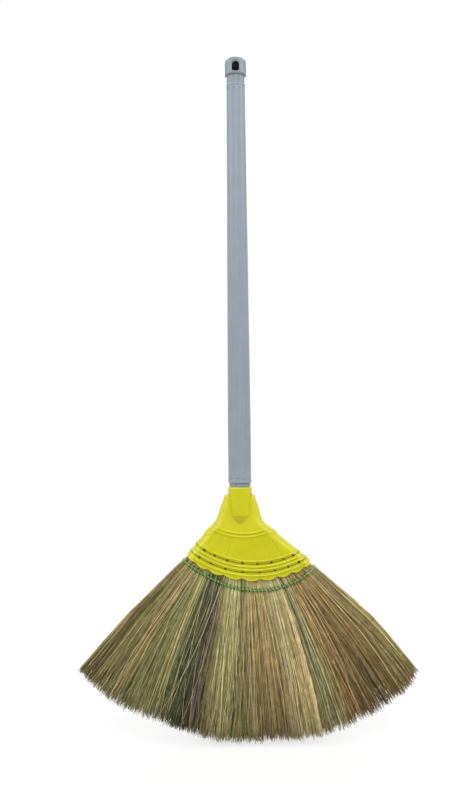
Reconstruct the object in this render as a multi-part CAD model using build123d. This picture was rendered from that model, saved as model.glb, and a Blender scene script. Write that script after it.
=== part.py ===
from build123d import *
from math import cos, pi, radians, sin, sqrt
import os
import random

os.makedirs("parts", exist_ok=True)

# A fan broom of dried grass on a tapered tube handle.
# X runs across the fan to the right, -Y is the front and Z is up along the handle, all in millimetres.
# Heights here are measured from the level that the lowest grass tips reach. At the end every piece is
# lowered by HANG_HEIGHT, which puts the centre of the hang hole at the origin.
HANG_HEIGHT = 843.0
FIT_GAP = 0.05

# Handle tube: straight above the head, then one even taper up to the cap.
# Each end has a bead that slopes out to a crest, with a short lip turned in below the crest.
TUBE_BOTTOM = 326.4
TUBE_TOP = 823.6
TAPER_START = 404.0
TUBE_LOW_RADIUS = 14.25
TUBE_TOP_RADIUS = 11.6
TUBE_WALL = 1.6
TUBE_END_INSET = 0.5
BEAD_SLOPE = 2.6
BEAD_LIP = 0.8
BEAD_RISE = 0.45
DENT_BALL_RADIUS = 1.8
DENT_DEPTH = 0.9
DENTS = 11
LOW_DENT_HEIGHT = 331.3
TOP_DENT_HEIGHT = 816.2
DENT_START_ANGLE = -11.0

# Hang cap: a hollow moulded cap, its neck, and a plug that goes down into the tube.
# The hang hole opens into the hollow from the front. It is flat below and arched above, and it lies in a
# shallow pocket with sloped walls. POCKET_FLOOR is how far the pocket's floor is in front of the axis.
CAP_RADIUS = 13.55
CAP_BOTTOM = 833.2
CAP_TOP = 857.0
CAP_DOME_RISE = 0.8
CAP_SHOULDER_RADIUS = 7.0
CAP_RIM_RADIUS = 2.0
CAP_WALL = 2.2
NECK_RADIUS = 11.35
CAP_PLUG_BOTTOM = 792.0
CAP_PLUG_BORE = 7.6
HANG_HOLE_WIDTH = 8.9
HANG_HOLE_TALL = 12.1
HANG_HOLE_CORNER = 2.0
POCKET_FLOOR = 12.35
POCKET_MARGIN = 0.6
POCKET_SLOPE = 2.0

# Screw tip: a plug up in the tube, the neck that shows above the collar, and the spigot in the socket
TIP_PLUG_TOP = 362.0
TIP_NECK_RADIUS = 13.2
TIP_NECK_BOTTOM = 317.0
SPIGOT_RADIUS = 12.3
SPIGOT_BOTTOM = 285.0
SPIGOT_CHAMFER = 1.5
TIP_BORE = 8.5
TIP_FLOOR = 4.0

# Head shell, level slices from the ears down to where the straight flare starts:
# height, left edge, right edge, thickness
SHELL_SLICES = [
    (312.3, -19.9, 18.9, 16.5),
    (298.0, -23.8, 22.4, 19.5),
    (287.0, -27.5, 25.1, 22.0),
    (279.0, -31.2, 28.2, 24.2),
    (272.0, -37.4, 35.2, 26.0),
    (262.0, -46.0, 46.5, 27.0),
]
FLARE_BOTTOM = 198.0
LEFT_FLARE = -0.864
RIGHT_FLARE = 1.225
SHELL_WALL = 2.0
SHELL_SIDE_INSET = 1.0
EAR_ROUND = 4.5

# Socket: a round collar that runs down the front and back of the shell as a tongue, which draws in to a
# round end and slopes off there
COLLAR_RADIUS = 15.0
COLLAR_TOP = 321.2
COLLAR_RIM = 1.6
TONGUE_TOP = 312.0
TONGUE_TOP_HALF_WIDTH = 12.5
TONGUE_ROUND_TOP = 286.5
TONGUE_ROUND_HALF_WIDTH = 10.3
TONGUE_BOTTOM = 276.3
TONGUE_END_RADIUS = 12.7
SOCKET_FLOOR = 283.0

# The band's ribs, grooves and stitch rows are arcs about BAND_CENTRE; columns of holes, scallops and grass
# all spread from FAN_APEX. Both points are X and height in the middle plane. Angles are from straight down.
# The first and last scallop end in a tab with an upright end.
BAND_CENTRE = (17.0, 344.0)
BAND_RIB_RADII = [114.3, 121.3, 125.3, 132.2]
UPPER_RIB_CENTRE = (4.25, 338.0)
UPPER_RIB_RADII = [73.7, 78.1]
RIB_HALF_WIDTH = 1.35
RIB_RISE = 1.2
RIB_SIDE_RISE = 0.4
RIB_ROUND = 1.1
STITCH_RADII = {"upper_stitch": 117.6, "lower_stitch": 128.3}
FAN_APEX = (3.8, 310.2)
COLUMN_ANGLES = [-36.3, -26.3, -14.5, -1.3, 11.3, 22.4, 31.9, 39.5]
HOLE_RADIUS = 1.45
NOTCH_RADIUS = 135.7
SCALLOP_RADIUS = 138.7
TAB_END_ANGLES = (-43.5, 44.4)
TAB_END_RADIUS = 135.8
TAB_BOW_RADIUS = 137.2
TAB_CORNER = 2.0
FLUTE_RADIUS = 9.0
FLUTE_DEPTH = 0.4
FLUTE_BAND_RADII = (88.7, 110.2)

# Stitching twine, and the binding sewn across the grass below the shell.
# A side reach is how far a cord runs past the end of its front arc before it turns to the back.
TWINE_RADIUS = 0.5
TWINE_GAP = 0.12
LEG_RADIUS = 0.44
LEFT_STITCH_REACH = 11.1
RIGHT_STITCH_REACH = 10.3
BINDING_RADIUS = 0.9
BINDING_LEFT = (-66.1, 225.4)
BINDING_MIDDLE = (17.0, 193.5)
BINDING_RIGHT = (83.3, 212.6)
BINDING_DEPTH = 11.3
BINDING_REACH = 10.2
LOOP_RADIUS = 0.6
LOOP_GAP = 0.15

# Grass roots inside the shell: a tied neck of stalk ends that widens into a packed block at the mouth
ROOT_EDGE_ANGLES = (-42.3, 42.0)
ROOT_RADII = (113.0, 133.4)
ROOT_HALF_DEPTH = 9.2
END_ROOT_HALF_DEPTH = 6.5
TUFT_GAP = 2.4
NECK_EDGE_ANGLES = (-33.6, 19.9)
NECK_RADII = (97.0, 105.0)
NECK_HALF_DEPTH = 7.6
NECK_GAP = 2.6
TIE_RADII = (99.0, 103.0)
TIE_THICKNESS = 0.9

# Grass strands: each keeps to its own cell of columns and layers from root to tip, so none cross.
# Towards the fan's edges they bow outwards at the middle, by up to EDGE_BOW degrees.
TIP_EDGE_ANGLES = (-43.9, 45.5)
STRAND_PITCH_ANGLE = 0.85
STRAND_LAYERS = 4
LAYER_STAGGER = 0.12
TIP_HALF_DEPTH = 23.0
TIP_EDGE_DEPTH_SHARE = 0.45
TIP_GAP = 0.8
TIP_REACH_LEFT = 300.0
TIP_REACH_RIGHT = 317.0
TIP_SCATTER = 7.0
EDGE_BOW = 1.9
ROOT_FILL = 0.78
TIP_FILL = 0.62
STRAND_SUNK = 5.0

random.seed(11)


def export(name, shape):
    shape = Pos(0, 0, -HANG_HEIGHT) * shape
    shape.label = name
    export_step(shape, f"parts/{name}.step")


def between(start, end, share):
    return start + share * (end - start)


def turned(*profile):
    """A solid turned about Z from a closed half profile of lines and arcs, given as (radius, height)."""
    return revolve(Plane.XZ * make_face(Curve() + list(profile)), Axis.Z)


def tube_radius(height):
    """The handle's outer radius at a height."""
    share = max(0.0, (height - TAPER_START) / (TUBE_TOP - TAPER_START))
    return between(TUBE_LOW_RADIUS, TUBE_TOP_RADIUS, share)


def dent_ring(height):
    """Balls that press a ring of shallow dents into the tube."""
    out = tube_radius(height) + DENT_BALL_RADIUS - DENT_DEPTH
    ring = Rot(0, 0, -90 + DENT_START_ANGLE) * PolarLocations(out, DENTS)
    return [Pos(0, 0, height) * place * Sphere(DENT_BALL_RADIUS) for place in ring]


def bead_flank(crest, end):
    """A rounded flank of a bead, from its upright crest to its end, each given as (radius, height)."""
    middle = between(crest[0], end[0], 0.25), between(crest[1], end[1], 0.5)
    return ThreePointArc(crest, middle, end)


def handle_tube():
    low_in = TUBE_LOW_RADIUS - TUBE_WALL
    top_in = TUBE_TOP_RADIUS - TUBE_WALL
    low_end = (TUBE_LOW_RADIUS - TUBE_END_INSET, TUBE_BOTTOM)
    low_crest = (TUBE_LOW_RADIUS + BEAD_RISE, TUBE_BOTTOM + BEAD_LIP)
    low_slope_top = (TUBE_LOW_RADIUS, low_crest[1] + BEAD_SLOPE)
    top_crest = (TUBE_TOP_RADIUS + BEAD_RISE, TUBE_TOP - BEAD_SLOPE)
    top_lip_low = top_crest[1] - BEAD_LIP
    top_lip_end = (tube_radius(top_lip_low), top_lip_low)
    top_end = (NECK_RADIUS, TUBE_TOP)
    tube = turned(
        bead_flank(low_crest, low_end),
        bead_flank(low_crest, low_slope_top),
        Polyline(low_slope_top, (TUBE_LOW_RADIUS, TAPER_START), top_lip_end),
        bead_flank(top_crest, top_lip_end),
        bead_flank(top_crest, top_end),
        Polyline(
            top_end,
            (top_in, TUBE_TOP),
            (top_in, CAP_PLUG_BOTTOM),
            (low_in, TAPER_START),
            (low_in, TUBE_BOTTOM),
            low_end,
        ),
    )
    return tube - dent_ring(LOW_DENT_HEIGHT) - dent_ring(TOP_DENT_HEIGHT)


def hang_hole(forward, growth):
    """The hang hole's outline at a distance in front of the axis, grown on all sides."""
    half = HANG_HOLE_WIDTH / 2 + growth
    low = -HANG_HOLE_TALL / 2 - growth
    arch_top = HANG_HOLE_TALL / 2 + growth
    arch_low = arch_top - half
    sides = Polyline((half, arch_low), (half, low), (-half, low), (-half, arch_low))
    arch = ThreePointArc((-half, arch_low), (0, arch_top), (half, arch_low))
    outline = make_face(Curve() + [sides, arch])
    outline = fillet(outline.vertices().group_by(Axis.Y)[0], HANG_HOLE_CORNER + growth)
    return Plane.XZ.offset(forward) * Pos(0, HANG_HEIGHT) * outline


def hang_cap():
    plug_radius = TUBE_TOP_RADIUS - TUBE_WALL
    shoulder = CAP_RADIUS - CAP_SHOULDER_RADIUS
    dome_low = CAP_TOP - CAP_DOME_RISE
    side_top = dome_low - CAP_SHOULDER_RADIUS
    rim = CAP_RADIUS - CAP_RIM_RADIUS
    side_low = CAP_BOTTOM + CAP_RIM_RADIUS
    outside = turned(
        ThreePointArc((0, CAP_TOP), (shoulder / 2, CAP_TOP - CAP_DOME_RISE / 4), (shoulder, dome_low)),
        CenterArc((shoulder, side_top), CAP_SHOULDER_RADIUS, 0, 90),
        Line((CAP_RADIUS, side_top), (CAP_RADIUS, side_low)),
        CenterArc((rim, side_low), CAP_RIM_RADIUS, -90, 90),
        Polyline(
            (rim, CAP_BOTTOM),
            (NECK_RADIUS, CAP_BOTTOM),
            (NECK_RADIUS, TUBE_TOP),
            (plug_radius, TUBE_TOP),
            (plug_radius, CAP_PLUG_BOTTOM),
            (0, CAP_PLUG_BOTTOM),
            (0, CAP_TOP),
        ),
    )
    hollow_radius = CAP_RADIUS - CAP_WALL
    hollow_low = CAP_BOTTOM + CAP_WALL
    hollow_tall = dome_low - CAP_WALL - hollow_low
    hollow = Pos(0, 0, hollow_low + hollow_tall / 2) * Cylinder(hollow_radius, hollow_tall)
    hollow = fillet(hollow.edges().group_by(Axis.Z)[-1], CAP_SHOULDER_RADIUS - CAP_WALL)
    bore_tall = hollow_low - CAP_PLUG_BOTTOM
    plug_bore = Pos(0, 0, CAP_PLUG_BOTTOM + bore_tall / 2) * Cylinder(CAP_PLUG_BORE, bore_tall)
    hole = extrude(hang_hole(0, 0), CAP_RADIUS + 1)
    floor = hang_hole(POCKET_FLOOR, POCKET_MARGIN)
    rim = hang_hole(POCKET_FLOOR + POCKET_SLOPE, POCKET_MARGIN + POCKET_SLOPE)
    return outside - hollow - plug_bore - hole - loft([floor, rim], ruled=True)


def screw_tip():
    plug_radius = TUBE_LOW_RADIUS - TUBE_WALL
    bore_low = SPIGOT_BOTTOM + TIP_FLOOR
    return turned(
        Polyline(
            (0, SPIGOT_BOTTOM),
            (SPIGOT_RADIUS - SPIGOT_CHAMFER, SPIGOT_BOTTOM),
            (SPIGOT_RADIUS, SPIGOT_BOTTOM + SPIGOT_CHAMFER),
            (SPIGOT_RADIUS, TIP_NECK_BOTTOM),
            (TIP_NECK_RADIUS, TIP_NECK_BOTTOM),
            (TIP_NECK_RADIUS, TUBE_BOTTOM),
            (plug_radius, TUBE_BOTTOM),
            (plug_radius, TIP_PLUG_TOP),
            (TIP_BORE, TIP_PLUG_TOP),
            (TIP_BORE, bore_low),
            (0, bore_low),
            (0, SPIGOT_BOTTOM),
        )
    )


def fan_point(angle, reach):
    """The point of the middle plane, as (X, height), at an angle and a reach from the fan's apex."""
    return FAN_APEX[0] + reach * sin(radians(angle)), FAN_APEX[1] - reach * cos(radians(angle))


def band_reach(angle, radius):
    """How far a ray from the fan's apex runs until it meets the band's circle of a radius."""
    east = FAN_APEX[0] - BAND_CENTRE[0]
    north = FAN_APEX[1] - BAND_CENTRE[1]
    half = east * sin(radians(angle)) - north * cos(radians(angle))
    return -half + sqrt(half * half - east * east - north * north + radius * radius)


def band_point(angle, radius):
    return fan_point(angle, band_reach(angle, radius))


def fan_side(angle):
    """Where a tip angle lies across the fan, from -1 at its left edge to 1 at its right edge."""
    left, right = TIP_EDGE_ANGLES
    return (2 * angle - left - right) / (right - left)


def tip_reach(angle):
    """How far the longest stalks reach from the apex at a tip angle."""
    return between(TIP_REACH_LEFT, TIP_REACH_RIGHT, (fan_side(angle) + 1) / 2)


def edge_bow(angle, share):
    """How far a stalk stands outside its straight line, in degrees, at a share of its length.
    A stalk is two straight lengths, so the bow grows evenly to the middle and shrinks evenly after it."""
    out = fan_side(angle)
    return EDGE_BOW * out * abs(out) * 2 * min(share, 1 - share)


def blade(grow, side_grow):
    """The shell's outer form: a smooth neck down from the ears, then a straight flare of even thickness."""

    def slice_at(height, left, right, thick):
        wide = right - left + 2 * side_grow
        return Pos((left + right) / 2, 0, height) * SlotOverall(wide, thick + 2 * grow)

    height, left, right, thick = SHELL_SLICES[-1]
    drop = height - FLARE_BOTTOM
    mouth = (FLARE_BOTTOM, left + drop * LEFT_FLARE, right + drop * RIGHT_FLARE, thick)
    neck = loft([slice_at(*row) for row in SHELL_SLICES])
    flare = loft([slice_at(*SHELL_SLICES[-1]), slice_at(*mouth)], ruled=True)
    return neck, flare


def rib_ring(centre, radius):
    """A ring about a Y axis with rounded rims, as deep as the shell and its ribs."""
    band = Circle(radius + RIB_HALF_WIDTH) - Circle(radius - RIB_HALF_WIDTH)
    ring = extrude(Plane.XZ * Pos(*centre) * band, SHELL_SLICES[-1][3] / 2 + RIB_RISE, both=True)
    return fillet(ring.edges().filter_by(GeomType.CIRCLE), RIB_ROUND)


def scalloped_front():
    """The outline that trims the shell's mouth: one bowed edge to each tuft, notched at the hole columns."""
    angles = [TAB_END_ANGLES[0], *COLUMN_ANGLES, TAB_END_ANGLES[1]]
    ends = [band_point(angle, NOTCH_RADIUS) for angle in angles]
    ends[0], ends[-1] = [band_point(angle, TAB_END_RADIUS) for angle in TAB_END_ANGLES]
    middles = [(a + b) / 2 for a, b in zip(angles, angles[1:])]
    bows = [band_point(angle, SCALLOP_RADIUS) for angle in middles]
    bows[0], bows[-1] = [band_point(angle, TAB_BOW_RADIUS) for angle in (middles[0], middles[-1])]
    arcs = [ThreePointArc(*points) for points in zip(ends, bows, ends[1:])]
    roof = COLLAR_TOP + 10
    rest = Polyline(ends[-1], (ends[-1][0], roof), (ends[0][0], roof), ends[0])
    outline = make_face(Curve() + arcs + rest)
    across = outline.vertices().sort_by(Axis.X)
    tab_corners = [pair.sort_by(Axis.Y)[0] for pair in (across[:2], across[-2:])]
    return Plane.XZ * fillet(tab_corners, TAB_CORNER)


def socket_outside():
    rim = COLLAR_RADIUS - COLLAR_RIM
    side_top = COLLAR_TOP - COLLAR_RIM
    return turned(
        Polyline(
            (0, TONGUE_BOTTOM),
            (TONGUE_END_RADIUS, TONGUE_BOTTOM),
            (COLLAR_RADIUS, TONGUE_ROUND_TOP),
            (COLLAR_RADIUS, side_top),
        ),
        CenterArc((rim, side_top), COLLAR_RIM, 0, 90),
        Polyline((rim, COLLAR_TOP), (0, COLLAR_TOP), (0, TONGUE_BOTTOM)),
    )


def tongue_trim():
    """A block with the front outline of the collar and of the tongue that draws in below it."""
    wide = COLLAR_RADIUS + 1
    right = [
        (TONGUE_ROUND_HALF_WIDTH, TONGUE_ROUND_TOP),
        (TONGUE_TOP_HALF_WIDTH, TONGUE_TOP),
        (wide, TONGUE_TOP),
        (wide, COLLAR_TOP + 1),
    ]
    left = [(-x, height) for x, height in reversed(right)]
    end = ThreePointArc(left[-1], (0, TONGUE_BOTTOM), right[0])
    outline = make_face(Curve() + [end, Polyline(*right, *left)])
    return extrude(Plane.XZ * outline, wide, both=True)


def socket_bore():
    mouth = TIP_NECK_RADIUS + FIT_GAP
    bore = SPIGOT_RADIUS + FIT_GAP
    step = TIP_NECK_BOTTOM - FIT_GAP
    return turned(
        Polyline(
            (0, SOCKET_FLOOR),
            (bore, SOCKET_FLOOR),
            (bore, step),
            (mouth, step),
            (mouth, COLLAR_TOP + 1),
            (0, COLLAR_TOP + 1),
            (0, SOCKET_FLOOR),
        )
    )


def flutes():
    """Rods that press a shallow crease into the front and back along each column, above the stitch band."""
    out = SHELL_SLICES[-1][3] / 2 + FLUTE_RADIUS - FLUTE_DEPTH
    rods = []
    for angle in COLUMN_ANGLES:
        start, end = (band_reach(angle, radius) for radius in FLUTE_BAND_RADII)
        x, height = fan_point(angle, (start + end) / 2)
        rod = Cylinder(FLUTE_RADIUS, end - start)
        for side in (-out, out):
            rods.append(Pos(x, side, height) * Rot(0, -angle, 0) * rod)
    return rods


def stitch_holes():
    holes = []
    for radius in STITCH_RADII.values():
        for angle in COLUMN_ANGLES:
            x, height = band_point(angle, radius)
            holes.append(Pos(x, 0, height) * Rot(90, 0, 0) * Cylinder(HOLE_RADIUS, 4 * COLLAR_RADIUS))
    return holes


def shell_cavity():
    """The hollow for the grass, closed above by the socket and at the sides by the shell's edges and tabs."""
    neck, flare = blade(-SHELL_WALL, -SHELL_SIDE_INSET)
    left, right = [band_point(angle, TAB_END_RADIUS)[0] for angle in TAB_END_ANGLES]
    wide = right - left - 2 * SHELL_SIDE_INSET
    between_tabs = Pos((left + right) / 2, 0, 0) * Box(wide, 4 * COLLAR_RADIUS, 2 * COLLAR_TOP)
    return (Pos(0, 0, -SHELL_WALL) * (neck + flare) - socket_outside()) & between_tabs


def head_shell():
    neck, flare = blade(0, 0)
    neck = fillet(neck.faces().sort_by(Axis.Z)[-1].edges(), EAR_ROUND)
    body = neck + flare - flutes()
    wide_neck, wide_flare = blade(RIB_RISE + 0.2, RIB_SIDE_RISE)
    rings = [rib_ring(BAND_CENTRE, radius) for radius in BAND_RIB_RADII]
    rings += [rib_ring(UPPER_RIB_CENTRE, radius) for radius in UPPER_RIB_RADII]
    ribs = [ring & (wide_neck + wide_flare) for ring in rings]
    trim = extrude(scalloped_front(), 2 * COLLAR_RADIUS, both=True)
    socket = socket_outside() & tongue_trim()
    outside = (body + ribs + socket) & trim
    return outside - shell_cavity() - socket_bore() - stitch_holes()


def flat_end(radius, edge, flare, inward):
    """Where a band circle leaves the shell's flat front for its rounded side edge."""
    east = edge + inward - BAND_CENTRE[0]
    north = SHELL_SLICES[-1][0] - BAND_CENTRE[1]
    square = flare * flare + 1
    half = (flare * east - north) / square
    drop = -half + sqrt(half * half - (east * east + north * north - radius * radius) / square)
    return edge + inward + drop * flare, SHELL_SLICES[-1][0] - drop


def cord_loop(front, radius, depth, left_reach, right_reach):
    """A cord right round the head: along a front arc, round one side edge, back behind and round the other.
    The front arc is drawn in the middle plane, left to right, and moved to front and back by the depth."""

    def side_bend(end, outward, reach):
        plane = Plane(origin=end, x_dir=outward, z_dir=outward.cross(Vector(0, 1, 0)))
        bend = FilletPolyline((0, -depth), (reach, -depth), (reach, depth), (0, depth), radius=0.96 * reach)
        return plane * bend

    right = side_bend(front @ 1, front % 1, right_reach)
    left = side_bend(front @ 0, (front % 0) * -1, left_reach)
    route = Wire([Pos(0, -depth, 0) * front, *right.edges(), Pos(0, depth, 0) * front, *left.edges()])
    start = Plane(origin=route @ 0, z_dir=route % 0)
    return sweep(start * Circle(radius), path=route)


def middle_arc(*points):
    """An arc in the middle plane through three points given as (X, height)."""
    return ThreePointArc(*[(x, 0, height) for x, height in points])


def stitch_row(radius):
    """Twine in a groove of the shell's band, with a leg through every hole from front run to back run."""
    _, left, right, thick = SHELL_SLICES[-1]
    depth = thick / 2 + TWINE_GAP + TWINE_RADIUS
    start = flat_end(radius, left, LEFT_FLARE, thick / 2)
    end = flat_end(radius, right, RIGHT_FLARE, -thick / 2)
    front = middle_arc(start, (BAND_CENTRE[0], BAND_CENTRE[1] - radius), end)
    loop = cord_loop(front, TWINE_RADIUS, depth, LEFT_STITCH_REACH, RIGHT_STITCH_REACH)
    legs = []
    for angle in COLUMN_ANGLES:
        x, height = band_point(angle, radius)
        legs.append(Pos(x, 0, height) * Rot(90, 0, 0) * Cylinder(LEG_RADIUS, 2 * depth))
    return loop + legs


def binding_arc():
    return middle_arc(BINDING_LEFT, BINDING_MIDDLE, BINDING_RIGHT)


def binding_reach(angle):
    """How far a ray from the fan's apex runs until it meets the binding's arc."""
    start = Vector(FAN_APEX[0], 0, FAN_APEX[1]) - binding_arc().arc_center
    half = start.dot(Vector(sin(radians(angle)), 0, -cos(radians(angle))))
    return -half + sqrt(half * half - start.dot(start) + binding_arc().radius ** 2)


def binding_loops():
    """Sewing loops round the binding's front and back runs, through the bowed gap between each two tufts."""
    tall = 2 * (BINDING_RADIUS + LOOP_GAP + LOOP_RADIUS)
    long = 2 * BINDING_DEPTH + tall
    loops = []
    for column in COLUMN_ANGLES:
        root_reach = band_reach(column, ROOT_RADII[1]) - STRAND_SUNK
        share = (binding_reach(column) - root_reach) / (tip_reach(column) - root_reach)
        angle = column + edge_bow(column, share)
        x, height = fan_point(angle, binding_reach(angle))
        along = Vector(sin(radians(angle)), 0, -cos(radians(angle)))
        plane = Plane(origin=(x, 0, height), x_dir=(0, 1, 0), z_dir=Vector(0, 1, 0).cross(along))
        route = (plane * SlotOverall(long, tall)).wire()
        section = Plane(origin=route @ 0, z_dir=route % 0) * Circle(LOOP_RADIUS)
        loops.append(sweep(section, path=route))
    return Compound(children=loops)


def sector_slice(angles, radius, inset, half_depth, about_band=False):
    """A rectangle across a tuft, between two rays and each side's inset, where they meet a band circle."""

    def corner(angle, side):
        if about_band:
            x = BAND_CENTRE[0] + radius * sin(radians(angle))
            height = BAND_CENTRE[1] - radius * cos(radians(angle))
        else:
            x, height = band_point(angle, radius)
        return Vector(x, 0, height) + Vector(cos(radians(angle)), 0, sin(radians(angle))) * (side * inset)

    left = corner(angles[0], 1)
    right = corner(angles[1], -1)
    deep = Vector(0, half_depth, 0)
    return Wire.make_polygon([left - deep, right - deep, right + deep, left + deep], close=True)


def tuft_root(block_angles, neck_angles, half_depth):
    slices = [sector_slice(neck_angles, radius, NECK_GAP / 2, NECK_HALF_DEPTH, True) for radius in NECK_RADII]
    slices += [sector_slice(block_angles, radius, TUFT_GAP / 2, half_depth) for radius in ROOT_RADII]
    return Solid.make_loft(slices, ruled=True)


def tuft_tie(neck_angles):
    """A flat band round a tuft's neck of stalk ends."""
    inset = NECK_GAP / 2
    depth = NECK_HALF_DEPTH
    out_inset = inset - TIE_THICKNESS
    out_depth = depth + TIE_THICKNESS
    outer = [sector_slice(neck_angles, radius, out_inset, out_depth, True) for radius in TIE_RADII]
    inner = [sector_slice(neck_angles, radius, inset, depth, True) for radius in NECK_RADII]
    return Solid.make_loft(outer, ruled=True) - Solid.make_loft(inner, ruled=True)


def strand(stops, angle):
    """One stalk of flat-sided lengths, from stops that each give its middle, width and depth there."""
    across = Vector(cos(radians(angle)), 0, sin(radians(angle)))
    rings = []
    for middle, wide, deep in stops:
        side = across * (wide / 2)
        back = Vector(0, deep / 2, 0)
        rings.append([middle - side - back, middle + side - back, middle + side + back, middle - side + back])
    outlines = [rings[0][::-1], rings[-1]]
    for low, high in zip(rings, rings[1:]):
        outlines += [[low[i - 1], low[i], high[i], high[i - 1]] for i in range(4)]
    return Solid(Shell([Face(Wire.make_polygon(outline, close=True)) for outline in outlines]))


def tuft_strands(root_angles, tip_angles, root_half_depth):
    """A tuft's stalks, in columns across it and layers through it."""
    root_span = root_angles[1] - root_angles[0]
    tip_span = tip_angles[1] - tip_angles[0]
    columns = round((root_span + tip_span) / 2 / STRAND_PITCH_ANGLE)
    strands = []
    for column in range(columns):
        for layer in range(STRAND_LAYERS):
            across = (column + 0.5 + LAYER_STAGGER * (-1) ** layer) / columns
            through = (2 * layer + 1) / STRAND_LAYERS - 1
            root_angle = between(*root_angles, across)
            tip_angle = between(*tip_angles, across)
            out = fan_side(tip_angle)
            tip_half_depth = TIP_HALF_DEPTH * sqrt(1 - (1 - TIP_EDGE_DEPTH_SHARE**2) * out**4)
            root_reach = band_reach(root_angle, ROOT_RADII[1])
            root_wide = radians(root_span) * root_reach / columns
            tip_wide = radians(tip_span) * tip_reach(tip_angle) / columns
            end_reach = tip_reach(tip_angle) - random.uniform(0, TIP_SCATTER)
            stops = []
            for share in (0.0, 0.5, 1.0):
                angle = between(root_angle, tip_angle, share) + edge_bow(tip_angle, share)
                x, height = fan_point(angle, between(root_reach - STRAND_SUNK, end_reach, share))
                half_depth = between(root_half_depth, tip_half_depth, share)
                fill = between(ROOT_FILL, TIP_FILL, share)
                wide = fill * between(root_wide, tip_wide, share)
                deep = fill * 2 * half_depth / STRAND_LAYERS
                stops.append((Vector(x, through * half_depth, height), wide, deep))
            strands.append(strand(stops, tip_angle))
    return strands


def inset_angles(angles, gap, reach):
    """A pair of rays moved in by half a gap each, at a reach from the apex."""
    step = gap / 2 / reach * 180 / pi
    return angles[0] + step, angles[1] - step


def grass():
    """Nine tufts and their ties, one tuft to each scallop, from left to right."""
    root_edges = [ROOT_EDGE_ANGLES[0], *COLUMN_ANGLES, ROOT_EDGE_ANGLES[1]]
    tip_edges = [TIP_EDGE_ANGLES[0], *COLUMN_ANGLES, TIP_EDGE_ANGLES[1]]
    count = len(root_edges) - 1
    neck_step = (NECK_EDGE_ANGLES[1] - NECK_EDGE_ANGLES[0]) / count
    for index in range(count):
        block_angles = root_edges[index], root_edges[index + 1]
        neck_start = NECK_EDGE_ANGLES[0] + index * neck_step
        neck_angles = neck_start, neck_start + neck_step
        half_depth = END_ROOT_HALF_DEPTH if index in (0, count - 1) else ROOT_HALF_DEPTH
        root = tuft_root(block_angles, neck_angles, half_depth)
        root_angles = inset_angles(block_angles, TUFT_GAP, band_reach(block_angles[0], ROOT_RADII[0]))
        tip_angles = inset_angles((tip_edges[index], tip_edges[index + 1]), TIP_GAP, TIP_REACH_LEFT)
        strands = tuft_strands(root_angles, tip_angles, half_depth)
        export(f"grass_tuft_{index + 1}", root.fuse(*strands))
        export(f"tuft_tie_{index + 1}", tuft_tie(neck_angles))


if __name__ == "__main__":
    export("handle_tube", handle_tube())
    export("hang_cap", hang_cap())
    export("screw_tip", screw_tip())
    export("head_shell", head_shell())
    for row, row_radius in STITCH_RADII.items():
        export(row, stitch_row(row_radius))
    binding = cord_loop(binding_arc(), BINDING_RADIUS, BINDING_DEPTH, BINDING_REACH, BINDING_REACH)
    export("binding_cord", binding)
    export("binding_loops", binding_loops())
    grass()
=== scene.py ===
import math

import bpy
import numpy as np
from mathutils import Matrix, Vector


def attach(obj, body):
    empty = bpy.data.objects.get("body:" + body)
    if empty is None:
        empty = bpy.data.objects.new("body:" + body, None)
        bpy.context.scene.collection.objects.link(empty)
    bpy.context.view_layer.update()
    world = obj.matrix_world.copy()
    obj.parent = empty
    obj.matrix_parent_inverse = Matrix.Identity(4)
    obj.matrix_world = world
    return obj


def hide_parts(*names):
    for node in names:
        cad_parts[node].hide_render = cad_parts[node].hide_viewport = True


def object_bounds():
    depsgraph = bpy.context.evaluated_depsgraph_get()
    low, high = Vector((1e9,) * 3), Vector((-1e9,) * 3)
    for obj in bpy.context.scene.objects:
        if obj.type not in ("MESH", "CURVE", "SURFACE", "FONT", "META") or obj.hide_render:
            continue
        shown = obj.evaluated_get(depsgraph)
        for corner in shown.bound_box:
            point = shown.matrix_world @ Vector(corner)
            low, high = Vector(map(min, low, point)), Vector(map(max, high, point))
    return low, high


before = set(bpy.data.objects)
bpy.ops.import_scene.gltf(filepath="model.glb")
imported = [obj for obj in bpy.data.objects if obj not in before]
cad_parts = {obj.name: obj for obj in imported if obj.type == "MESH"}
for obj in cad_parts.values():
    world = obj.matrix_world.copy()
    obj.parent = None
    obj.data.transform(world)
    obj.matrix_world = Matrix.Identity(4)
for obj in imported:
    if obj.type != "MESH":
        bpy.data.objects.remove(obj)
cad_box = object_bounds()
rng = np.random.default_rng(seed=11)

# A fan broom of dried grass. Sizes are in millimetres, as in the part's source: X runs right across
# the fan, Y runs from front to back, and heights are measured from a level just under the lowest grass
# tips, HANG_HEIGHT below the origin.
MM = 0.001
HANG_HEIGHT = 843.0
FRONT_TO_BACK = (0.0, 1.0, 0.0)

# The fan's rays spread from FAN_APEX, and the shell's stitch band is arcs about BAND_CENTRE, both as
# (X, height). Angles are in degrees from straight down, and reaches are measured from the apex.
FAN_APEX = (3.8, 310.2)
BAND_CENTRE = (17.0, 344.0)
COLUMN_ANGLES = [-36.3, -26.3, -14.5, -1.3, 11.3, 22.4, 31.9, 39.5]
TUFTS = len(COLUMN_ANGLES) + 1

# The shell's straight flare, which the stitches run round: its half thickness, the height where it begins,
# the X of its two side edges there, and how far along X each goes for a millimetre down
SHELL_HALF_DEPTH = 13.5
FLARE_TOP = 262.0
LEFT_EDGE = -46.0
RIGHT_EDGE = 46.5
LEFT_FLARE = -0.864
RIGHT_FLARE = 1.225

# The shell's neck above its ribs, where its corners and downward slopes get painted shade, darker and more
# orange: the height where that begins, and how much further up it is full
NECK_FOOT = 271.0
NECK_FADE = 8.0

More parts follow.
